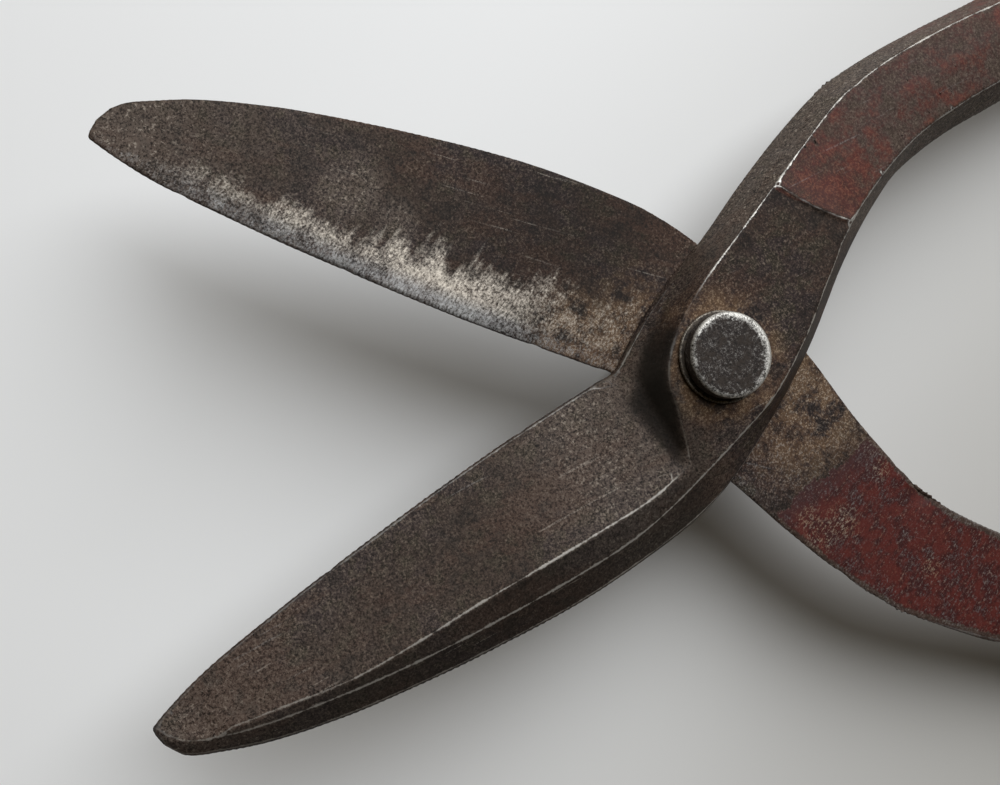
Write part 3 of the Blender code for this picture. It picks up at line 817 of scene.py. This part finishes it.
def dent(skin, nicks):
    for place, size, depth in nicks:
        gap = np.linalg.norm(skin.points - np.array(place), axis=1)
        skin.points = skin.points - skin.normals * (depth * np.exp(-(gap / size) ** 2))[:, None]
    skin.refresh_normals()


def roughen(skin, seed, free):
    """Forging waves, strongest on the handle and nearly none on the flat shear face."""
    handle = rising(skin.points[:, 0], *HANDLE_X)
    waves = wave_field(skin.points, LONG_WAVE, seed) + wave_field(skin.points, SHORT_WAVE, seed + 1)
    waves = waves * (BLADE_SHARE + HANDLE_EXTRA * handle) + wave_field(skin.points, FINE_WAVE, seed + 2)
    share = SHEAR_SHARE + (1.0 - SHEAR_SHARE) * free
    skin.lift(waves * share - FORGING_SINK * free)


def store_faces(skin, places, shear, lean, bulge):
    """Masks of the shear face, the hollows and the boss's wall for dirt and painted shade, the spine band
    for painted shade, the flank for painted bounce light, and the top face.
    """
    x, y, z = places.T
    free = 1.0 - shear
    wall = free * falling(lean[:, 2], 0.80, 0.96) * rising(z, 2.5, 4.0)
    wall = wall * within(y, *WALL_Y) * within(x, *WALL_X)
    # Dirt in the concave hollows, and painted shade on the wall between the boss and the blade's face.
    hollow_dirt_and_wall_shade = np.maximum(falling(bulge, -0.20, -0.03), 0.92 * wall)
    outside = rising(z, 0.5, 1.2) * falling(x, -16.0, -6.0)
    skin.store("shear_face", shear)
    skin.store("hollow_dirt_and_wall_shade", skin.smooth(hollow_dirt_and_wall_shade[:, None], DIRT_AND_SHADE_ROUNDS)[:, 0])
    # Faces of the blade that tilt away from the window, darkened as painted shade.
    skin.store("spine_band_shade", outside * falling(lean[:, 1], -0.14, -0.02))
    # The blade's steep side face, lightened as painted bounce light.
    skin.store("flank", outside * falling(lean[:, 2], 0.45, 0.75))
    skin.store("top_face", rising(lean[:, 2], 0.80, 0.93))
    near_bolt = falling(np.hypot(x, y), 8.0, 13.0)
    skin.store("pivot_near", spots(x, y, RUST_SPOTS) * shear + near_bolt * (free - wall))


def store_dust_and_sheen(skin, places, shear, lean):
    """Masks of dust, with a painted reflection towards the tip on the shear face, of grime, and of the
    spots scraped through the paint.
    """
    x, y, z = places.T
    free = 1.0 - shear
    # Dust on the shear face, and a painted reflection that lightens it towards the tip.
    flat_dust_and_sheen = np.interp(x, SHEAR_DUST_AND_SHEEN_X, SHEAR_DUST_AND_SHEEN) * shear + 0.85 * spots(x, y, PALE_SPOTS) * shear
    face_dust = np.interp(x, FACE_DUST_X, FACE_DUST) * free * rising(z, 0.5, 1.2)
    flank_dust = free * falling(lean[:, 2], 0.55, 0.85) * rising(y, 0.0, 8.0)
    flank_dust = flank_dust * np.interp(x, FLANK_DUST_X, FLANK_DUST)
    skin.store("dust_and_sheen", np.maximum(flat_dust_and_sheen, np.maximum(face_dust, flank_dust)))
    skin.store("grime", spots(x, y, GRIME_SPOTS) * shear)
    skin.store("rub_spot", spots(x, y, RUB_SPOTS) * shear)


def store_wear(skin, places, bulge):
    """Distances from the cutting edge and the ridges, and how far steel is rubbed bright."""
    x, y, z = places.T
    edge_depth = np.interp(x, EDGE_X, EDGE_Y) - y
    skin.store("edge_mm", edge_depth)
    skin.store("edge_depth", edge_depth / np.interp(x, BARE_X, BARE_WIDTH))
    skin.store("bare_along", np.interp(x, BRIGHT_X, BRIGHT))
    skin.store("ridge_gap", skin.ridge_gap)
    behind = rising(x, -20.0, -12.0)
    wear = rising(bulge, 0.03 + 0.09 * behind, 0.10 + 0.16 * behind)
    wear = wear * (1.0 - 0.85 * spots(x, y, DULL_SPOTS)) * np.interp(x, WEAR_X, WEAR)
    blade_rim = falling(x, -16.0, -10.0) * falling(z, 0.6, 1.2)
    handle_rim = (z < 0.6) * (x > 0)
    skin.store("ridge_wear", wear * (1.0 - 0.82 * blade_rim) * (1.0 - 0.7 * handle_rim))


def forge(node, name, pose, seed, nicks):
    """A half with forged waves, small dents and rounded worn ridges, and masks for its material."""
    skin = Skin(node, pose, FORGING_EDGE)
    round_ends(skin)
    dent(skin, nicks)
    places = skin.points
    faces_down = rising(-skin.normals[:, 2], 0.80, 0.97)
    shear = faces_down * falling(places[:, 2], 0.15, 0.30)
    bulge = skin.bulge(BULGE_ROUNDS)
    roughen(skin, seed, 1.0 - shear)
    lean = skin.smooth(skin.normals, LEAN_ROUNDS)
    store_faces(skin, places, shear, lean, bulge)
    store_dust_and_sheen(skin, places, shear, lean)
    store_wear(skin, places, bulge)
    return skin.piece(name)


def make_front_half():
    piece = forge("front_half", "front_forging", FRONT_POSE, 1, FRONT_NICKS)
    piece.data.materials.append(forging_material("front_forging", 3.0, False))
    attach(piece, "front")
    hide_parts("front_half")


def make_back_half():
    piece = forge("back_half", "back_forging", BACK_POSE, 2, BACK_NICKS)
    piece.data.materials.append(forging_material("back_forging", 11.0, True))
    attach(piece, "back")
    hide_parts("back_half")


# Each fitting's slot and seed, and the colours of its skin, its dark patches and its rubbed steel.
FITTINGS = {
    "pivot_bolt": (
        "bolt_steel", 21.0, (0.032, 0.023, 0.017), (0.024, 0.017, 0.014), (0.66, 0.635, 0.58),
    ),
    "head_washer": (
        "washer_steel", 22.0, (0.07, 0.055, 0.04), (0.03, 0.023, 0.018), (0.25, 0.22, 0.18),
    ),
    "back_washer": (
        "washer_steel", 23.0, (0.14, 0.12, 0.10), (0.06, 0.05, 0.04), (0.40, 0.37, 0.33),
    ),
    "spring_washer": (
        "spring_steel", 24.0, (0.07, 0.06, 0.06), (0.03, 0.027, 0.025), (0.3, 0.29, 0.27),
    ),
    "pivot_nut": (
        "nut_steel", 25.0, (0.17, 0.145, 0.12), (0.07, 0.05, 0.04), (0.46, 0.43, 0.38),
    ),
    "lock_nut": (
        "nut_steel", 26.0, (0.16, 0.14, 0.12), (0.065, 0.05, 0.04), (0.46, 0.43, 0.38),
    ),
}


def make_fittings():
    """Bolt, washers and nuts: fine meshes with rubbed corners and small dents."""
    for node, (slot, seed, base, dark, bright) in FITTINGS.items():
        skin = Skin(node, TOOL, FITTING_EDGE)
        skin.points = skin.smooth(skin.points, FITTING_ROUNDS, keep_size=True)
        skin.refresh_normals()
        skin.lift(wave_field(skin.points, FITTING_WAVE, seed) - FITTING_SINK)
        skin.store("ridge_gap", skin.ridge_gap)
        piece = skin.piece(node + "_steel")
        is_bolt = node == "pivot_bolt"
        piece.data.materials.append(fitting_material(node, seed, base, dark, bright, is_bolt))
        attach(piece, "front")
        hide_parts(node)


bpy.context.scene.view_settings.view_transform = "Standard"
make_camera()
make_window()
make_room()
make_floor()
make_front_half()
make_back_half()
make_fittings()
